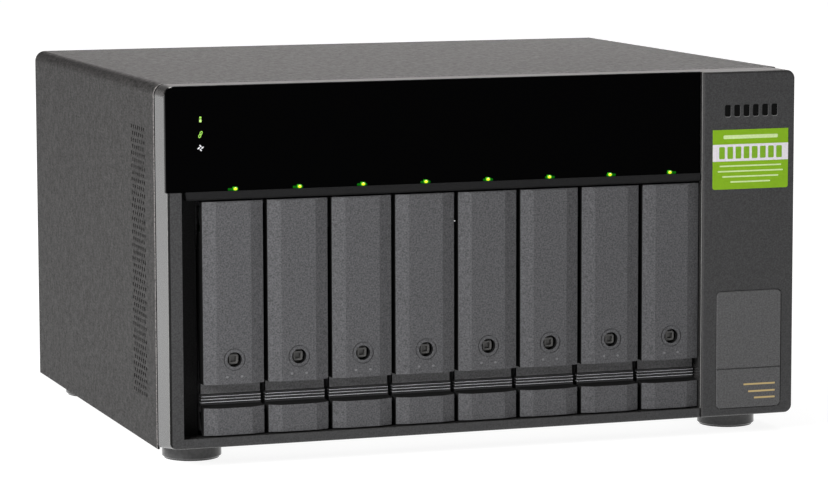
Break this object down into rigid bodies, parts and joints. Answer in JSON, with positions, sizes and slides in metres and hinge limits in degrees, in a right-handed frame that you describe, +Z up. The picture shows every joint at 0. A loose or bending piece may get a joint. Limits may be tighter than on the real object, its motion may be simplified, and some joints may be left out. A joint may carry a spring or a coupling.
{
  "type": "disk shelf enclosure",
  "caption": "Desktop enclosure with a row of upright lockable drive trays under a gloss black window, a side pillar, rear fans and a mains inlet.",
  "frame": {"origin": "on the ground plane, at the middle of the footprint", "axes": "+X to the right seen from the front, +Y to the back, +Z up; the trays face -Y"},
  "size_m": [0.3292, 0.2802, 0.1861],
  "materials": {
    "cover_paint": "fine dark grey powder coat",
    "plated_steel": "zinc-plated sheet steel",
    "foot_rubber": "smooth black rubber",
    "bezel_plastic": "fine-grained dark grey moulding",
    "window_gloss": "polished piano black",
    "strip_plastic": "satin black moulding",
    "tray_plastic": "fine-grained dark grey moulding",
    "tab_plastic": "semi-gloss black moulding",
    "lock_plastic": "dark grey key barrel",
    "lens_green": "clear light pipe lit green",
    "label_paper": "printed sticker in green and white",
    "board_green": "green solder mask on glass laminate",
    "inner_plastic": "black moulding",
    "fan_plastic": "black glass-filled moulding",
    "grille_chrome": "nickel-plated steel wire and screws",
    "cable_sleeve": "black cable sleeve"
  },
  "bodies": {
    "root": {"outer_cover": "cover_paint", "chassis_base": "plated_steel", "rear_panel": "cover_paint", "rubber_feet": "foot_rubber", "front_frame": "bezel_plastic", "front_window": "window_gloss", "indicator_lenses": "lens_green", "window_strip": "strip_plastic", "led_board": "board_green", "right_pillar": "bezel_plastic", "pillar_plate": "bezel_plastic", "pillar_label": "label_paper", "drive_cage": "plated_steel", "bay_guides": "inner_plastic", "backplane_board": "board_green", "sata_connectors": "inner_plastic", "psu_case": "plated_steel", "ac_inlet": "inner_plastic", "controller_board": "board_green", "usb_c_port": "plated_steel", "power_harness": "cable_sleeve", "fan_frames": "fan_plastic", "fan_grilles": "grille_chrome", "rear_screws": "grille_chrome"},
    "tray_1": {"tray_1_carrier": "tray_plastic"},
    "handle_1": {"tray_1_handle": "tray_plastic"},
    "tab_1": {"tray_1_release_tab": "tab_plastic"},
    "lock_1": {"tray_1_lock": "lock_plastic"},
    "tray_2": {"tray_2_carrier": "tray_plastic"},
    "handle_2": {"tray_2_handle": "tray_plastic"},
    "tab_2": {"tray_2_release_tab": "tab_plastic"},
    "lock_2": {"tray_2_lock": "lock_plastic"},
    "tray_3": {"tray_3_carrier": "tray_plastic"},
    "handle_3": {"tray_3_handle": "tray_plastic"},
    "tab_3": {"tray_3_release_tab": "tab_plastic"},
    "lock_3": {"tray_3_lock": "lock_plastic"},
    "tray_4": {"tray_4_carrier": "tray_plastic"},
    "handle_4": {"tray_4_handle": "tray_plastic"},
    "tab_4": {"tray_4_release_tab": "tab_plastic"},
    "lock_4": {"tray_4_lock": "lock_plastic"},
    "tray_5": {"tray_5_carrier": "tray_plastic"},
    "handle_5": {"tray_5_handle": "tray_plastic"},
    "tab_5": {"tray_5_release_tab": "tab_plastic"},
    "lock_5": {"tray_5_lock": "lock_plastic"},
    "tray_6": {"tray_6_carrier": "tray_plastic"},
    "handle_6": {"tray_6_handle": "tray_plastic"},
    "tab_6": {"tray_6_release_tab": "tab_plastic"},
    "lock_6": {"tray_6_lock": "lock_plastic"},
    "tray_7": {"tray_7_carrier": "tray_plastic"},
    "handle_7": {"tray_7_handle": "tray_plastic"},
    "tab_7": {"tray_7_release_tab": "tab_plastic"},
    "lock_7": {"tray_7_lock": "lock_plastic"},
    "tray_8": {"tray_8_carrier": "tray_plastic"},
    "handle_8": {"tray_8_handle": "tray_plastic"},
    "tab_8": {"tray_8_release_tab": "tab_plastic"},
    "lock_8": {"tray_8_lock": "lock_plastic"},
    "fan_1": {"fan_1_rotor": "fan_plastic"},
    "fan_2": {"fan_2_rotor": "fan_plastic"},
    "button": {"power_button": "inner_plastic"},
    "speed_switch": {"fan_speed_switch": "inner_plastic"}
  },
  "joints": [
    {"name": "tray_1_slide", "type": "slide", "parent": "root", "child": "tray_1", "axis": [0, -1, 0], "range_m": [0, 0.19]},
    {"name": "handle_1_swing", "type": "hinge", "parent": "tray_1", "child": "handle_1", "pos_m": [-0.13145, -0.1322, 0.112], "axis": [-1, 0, 0], "range_deg": [0, 35]},
    {"name": "tab_1_press", "type": "slide", "parent": "tray_1", "child": "tab_1", "axis": [0, 0, -1], "range_m": [0, 0.0025], "stiffness_N_per_m": 300, "springref_m": -0.001},
    {"name": "lock_1_turn", "type": "hinge", "parent": "handle_1", "child": "lock_1", "pos_m": [-0.13145, -0.1322, 0.0528], "axis": [0, 1, 0], "range_deg": [0, 90]},
    {"name": "tray_2_slide", "type": "slide", "parent": "root", "child": "tray_2", "axis": [0, -1, 0], "range_m": [0, 0.19]},
    {"name": "handle_2_swing", "type": "hinge", "parent": "tray_2", "child": "handle_2", "pos_m": [-0.09867, -0.1322, 0.112], "axis": [-1, 0, 0], "range_deg": [0, 35]},
    {"name": "tab_2_press", "type": "slide", "parent": "tray_2", "child": "tab_2", "axis": [0, 0, -1], "range_m": [0, 0.0025], "stiffness_N_per_m": 300, "springref_m": -0.001},
    {"name": "lock_2_turn", "type": "hinge", "parent": "handle_2", "child": "lock_2", "pos_m": [-0.09867, -0.1322, 0.0528], "axis": [0, 1, 0], "range_deg": [0, 90]},
    {"name": "tray_3_slide", "type": "slide", "parent": "root", "child": "tray_3", "axis": [0, -1, 0], "range_m": [0, 0.19]},
    {"name": "handle_3_swing", "type": "hinge", "parent": "tray_3", "child": "handle_3", "pos_m": [-0.06589, -0.1322, 0.112], "axis": [-1, 0, 0], "range_deg": [0, 35]},
    {"name": "tab_3_press", "type": "slide", "parent": "tray_3", "child": "tab_3", "axis": [0, 0, -1], "range_m": [0, 0.0025], "stiffness_N_per_m": 300, "springref_m": -0.001},
    {"name": "lock_3_turn", "type": "hinge", "parent": "handle_3", "child": "lock_3", "pos_m": [-0.06589, -0.1322, 0.0528], "axis": [0, 1, 0], "range_deg": [0, 90]},
    {"name": "tray_4_slide", "type": "slide", "parent": "root", "child": "tray_4", "axis": [0, -1, 0], "range_m": [0, 0.19]},
    {"name": "handle_4_swing", "type": "hinge", "parent": "tray_4", "child": "handle_4", "pos_m": [-0.03311, -0.1322, 0.112], "axis": [-1, 0, 0], "range_deg": [0, 35]},
    {"name": "tab_4_press", "type": "slide", "parent": "tray_4", "child": "tab_4", "axis": [0, 0, -1], "range_m": [0, 0.0025], "stiffness_N_per_m": 300, "springref_m": -0.001},
    {"name": "lock_4_turn", "type": "hinge", "parent": "handle_4", "child": "lock_4", "pos_m": [-0.03311, -0.1322, 0.0528], "axis": [0, 1, 0], "range_deg": [0, 90]},
    {"name": "tray_5_slide", "type": "slide", "parent": "root", "child": "tray_5", "axis": [0, -1, 0], "range_m": [0, 0.19]},
    {"name": "handle_5_swing", "type": "hinge", "parent": "tray_5", "child": "handle_5", "pos_m": [-0.00033, -0.1322, 0.112], "axis": [-1, 0, 0], "range_deg": [0, 35]},
    {"name": "tab_5_press", "type": "slide", "parent": "tray_5", "child": "tab_5", "axis": [0, 0, -1], "range_m": [0, 0.0025], "stiffness_N_per_m": 300, "springref_m": -0.001},
    {"name": "lock_5_turn", "type": "hinge", "parent": "handle_5", "child": "lock_5", "pos_m": [-0.00033, -0.1322, 0.0528], "axis": [0, 1, 0], "range_deg": [0, 90]},
    {"name": "tray_6_slide", "type": "slide", "parent": "root", "child": "tray_6", "axis": [0, -1, 0], "range_m": [0, 0.19]},
    {"name": "handle_6_swing", "type": "hinge", "parent": "tray_6", "child": "handle_6", "pos_m": [0.03245, -0.1322, 0.112], "axis": [-1, 0, 0], "range_deg": [0, 35]},
    {"name": "tab_6_press", "type": "slide", "parent": "tray_6", "child": "tab_6", "axis": [0, 0, -1], "range_m": [0, 0.0025], "stiffness_N_per_m": 300, "springref_m": -0.001},
    {"name": "lock_6_turn", "type": "hinge", "parent": "handle_6", "child": "lock_6", "pos_m": [0.03245, -0.1322, 0.0528], "axis": [0, 1, 0], "range_deg": [0, 90]},
    {"name": "tray_7_slide", "type": "slide", "parent": "root", "child": "tray_7", "axis": [0, -1, 0], "range_m": [0, 0.19]},
    {"name": "handle_7_swing", "type": "hinge", "parent": "tray_7", "child": "handle_7", "pos_m": [0.06523, -0.1322, 0.112], "axis": [-1, 0, 0], "range_deg": [0, 35]},
    {"name": "tab_7_press", "type": "slide", "parent": "tray_7", "child": "tab_7", "axis": [0, 0, -1], "range_m": [0, 0.0025], "stiffness_N_per_m": 300, "springref_m": -0.001},
    {"name": "lock_7_turn", "type": "hinge", "parent": "handle_7", "child": "lock_7", "pos_m": [0.06523, -0.1322, 0.0528], "axis": [0, 1, 0], "range_deg": [0, 90]},
    {"name": "tray_8_slide", "type": "slide", "parent": "root", "child": "tray_8", "axis": [0, -1, 0], "range_m": [0, 0.19]},
    {"name": "handle_8_swing", "type": "hinge", "parent": "tray_8", "child": "handle_8", "pos_m": [0.09801, -0.1322, 0.112], "axis": [-1, 0, 0], "range_deg": [0, 35]},
    {"name": "tab_8_press", "type": "slide", "parent": "tray_8", "child": "tab_8", "axis": [0, 0, -1], "range_m": [0, 0.0025], "stiffness_N_per_m": 300, "springref_m": -0.001},
    {"name": "lock_8_turn", "type": "hinge", "parent": "handle_8", "child": "lock_8", "pos_m": [0.09801, -0.1322, 0.0528], "axis": [0, 1, 0], "range_deg": [0, 90]},
    {"name": "fan_1_spin", "type": "hinge", "parent": "root", "child": "fan_1", "pos_m": [-0.084, 0.1247, 0.098], "axis": [0, 1, 0], "continuous": true},
    {"name": "fan_2_spin", "type": "hinge", "parent": "root", "child": "fan_2", "pos_m": [0.038, 0.1247, 0.098], "axis": [0, 1, 0], "continuous": true},
    {"name": "power_press", "type": "slide", "parent": "root", "child": "button", "axis": [0, -1, 0], "range_m": [0, 0.001], "stiffness_N_per_m": 400, "springref_m": -0.0005},
    {"name": "speed_select", "type": "slide", "parent": "root", "child": "speed_switch", "axis": [0, 0, 1], "range_m": [-0.002, 0.002]}
  ]
}
